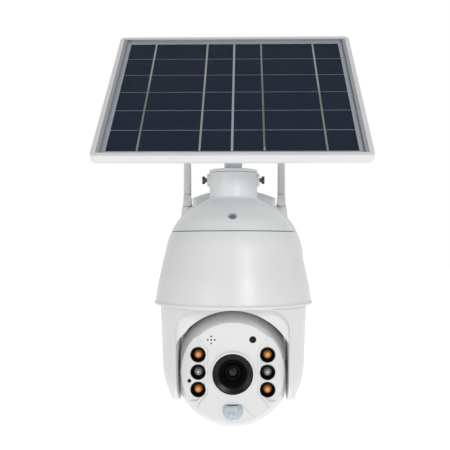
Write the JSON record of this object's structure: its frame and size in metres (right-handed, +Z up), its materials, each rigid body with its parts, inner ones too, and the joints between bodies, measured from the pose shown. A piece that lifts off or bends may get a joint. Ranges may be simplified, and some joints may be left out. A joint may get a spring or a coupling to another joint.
{
  "type": "solar security camera",
  "caption": "Wall-mounted pan and tilt security camera with a domed body, folding antennas and a tilting solar panel on a post above it.",
  "frame": {"origin": "centre of the wall plate's back face", "axes": "+Z up, +Y into the wall, the lens looks towards -Y, +X to the right seen from the front"},
  "size_m": [0.258, 0.1834, 0.4202],
  "materials": {
    "white_plastic": "satin cool white moulding",
    "grey_rubber": "dull",
    "screw_steel": "dark nickel plate",
    "cell_wrap": "shrink wrap",
    "circuit_board": "solder mask",
    "black_rubber": "dull",
    "grey_plastic": "satin",
    "bearing_plastic": "waxy acetal",
    "motor_can": "zinc plate",
    "gear_plastic": "waxy acetal",
    "black_gloss": "polished",
    "black_plastic": "fine texture",
    "lens_glass": "coated",
    "amber_lens": "clear resin dome",
    "clear_lens": "clear resin dome",
    "milky_lens": "translucent moulding",
    "panel_frame": "satin white coat",
    "panel_glass": "clear",
    "busbar": "tinned ribbon",
    "solar_cell": "dark silicon",
    "back_sheet": "smooth film"
  },
  "bodies": {
    "housing": {"dome_shell": "white_plastic", "seam_gasket": "grey_rubber", "top_cover": "white_plastic", "housing_screws": "screw_steel", "lock_screws": "screw_steel", "wall_housing": "white_plastic", "wall_plate": "white_plastic", "antenna_sockets": "white_plastic", "battery_cells": "cell_wrap", "charge_board": "circuit_board", "solar_inlet": "black_rubber", "chassis": "grey_plastic", "pan_bearing": "bearing_plastic", "pan_motor": "motor_can", "main_board": "circuit_board"},
    "antenna_base_left": {"antenna_elbow_left": "white_plastic"},
    "antenna_base_right": {"antenna_elbow_right": "white_plastic"},
    "antenna_left": {"antenna_blade_left": "white_plastic"},
    "antenna_right": {"antenna_blade_right": "white_plastic"},
    "pan_drive_pinion": {"pan_pinion": "gear_plastic"},
    "yoke": {"yoke": "white_plastic", "pan_spindle": "bearing_plastic", "pan_gear": "gear_plastic", "arm_covers": "white_plastic", "tilt_motor": "motor_can"},
    "tilt_drive_pinion": {"tilt_pinion": "gear_plastic"},
    "head": {"head_shell": "white_plastic", "face_plate": "white_plastic", "lens_bezel": "black_gloss", "lens_shroud": "grey_plastic", "lens_barrel": "black_plastic", "lens_elements": "lens_glass", "sensor_board": "circuit_board", "led_cups": "black_gloss", "amber_leds": "amber_lens", "clear_leds": "clear_lens", "led_boards": "circuit_board", "pir_lens": "milky_lens", "light_sensor_window": "black_gloss", "speaker": "black_plastic", "service_plug": "grey_rubber", "service_board": "circuit_board", "memory_card": "black_plastic", "trunnions": "bearing_plastic", "tilt_gear": "gear_plastic"},
    "power_button": {"power_button": "black_plastic"},
    "reset_button": {"reset_button": "black_plastic"},
    "post": {"swivel_plug": "white_plastic", "post": "white_plastic"},
    "panel": {"panel_bracket": "white_plastic", "bracket_screws": "screw_steel", "tilt_bolt": "screw_steel", "panel_frame": "panel_frame", "panel_glass": "panel_glass", "panel_seal": "grey_rubber", "cell_busbars": "busbar", "solar_cells": "solar_cell", "back_sheet": "back_sheet", "junction_box": "black_plastic", "panel_gland": "black_plastic"}
  },
  "joints": [
    {"name": "panel_swivel", "type": "hinge", "parent": "housing", "child": "post", "pos_m": [0, -0.098, 0.08], "axis": [0, 0, 1], "range_deg": [-45, 45]},
    {"name": "panel_tilt", "type": "hinge", "parent": "post", "child": "panel", "pos_m": [0, -0.098, 0.146], "axis": [1, 0, 0], "range_deg": [-40, 18]},
    {"name": "antenna_swivel_left", "type": "hinge", "parent": "housing", "child": "antenna_base_left", "pos_m": [-0.0525, -0.038, 0.062], "axis": [0, 0, 1], "range_deg": [-90, 90]},
    {"name": "antenna_fold_left", "type": "hinge", "parent": "antenna_base_left", "child": "antenna_left", "pos_m": [-0.0525, -0.038, 0.07], "axis": [0, -1, 0], "range_deg": [0, 90]},
    {"name": "antenna_swivel_right", "type": "hinge", "parent": "housing", "child": "antenna_base_right", "pos_m": [0.0525, -0.038, 0.062], "axis": [0, 0, 1], "range_deg": [-90, 90]},
    {"name": "antenna_fold_right", "type": "hinge", "parent": "antenna_base_right", "child": "antenna_right", "pos_m": [0.0525, -0.038, 0.07], "axis": [0, 1, 0], "range_deg": [0, 90]},
    {"name": "head_pan", "type": "hinge", "parent": "housing", "child": "yoke", "pos_m": [0, -0.098, -0.028], "axis": [0, 0, 1], "range_deg": [-177.5, 177.5]},
    {"name": "pan_pinion_turn", "type": "hinge", "parent": "housing", "child": "pan_drive_pinion", "pos_m": [0.03, -0.098, -0.02], "axis": [0, 0, 1], "range_deg": [-720, 720]},
    {"name": "head_tilt", "type": "hinge", "parent": "yoke", "child": "head", "pos_m": [0, -0.098, -0.1065], "axis": [1, 0, 0], "range_deg": [-20, 75]},
    {"name": "tilt_pinion_turn", "type": "hinge", "parent": "yoke", "child": "tilt_drive_pinion", "pos_m": [0.059, -0.098, -0.0825], "axis": [1, 0, 0], "range_deg": [-240, 240]},
    {"name": "power_button_press", "type": "slide", "parent": "head", "child": "power_button", "axis": [0, 0, 1], "range_m": [0, 0.0004], "stiffness_N_per_m": 2000, "springref_m": -0.0003},
    {"name": "reset_button_press", "type": "slide", "parent": "head", "child": "reset_button", "axis": [0, 0, 1], "range_m": [0, 0.0004], "stiffness_N_per_m": 2000, "springref_m": -0.0003}
  ],
  "couplings": [
    {"joint": "pan_pinion_turn", "follows": "head_pan", "ratio": -4},
    {"joint": "tilt_pinion_turn", "follows": "head_tilt", "ratio": -3}
  ]
}
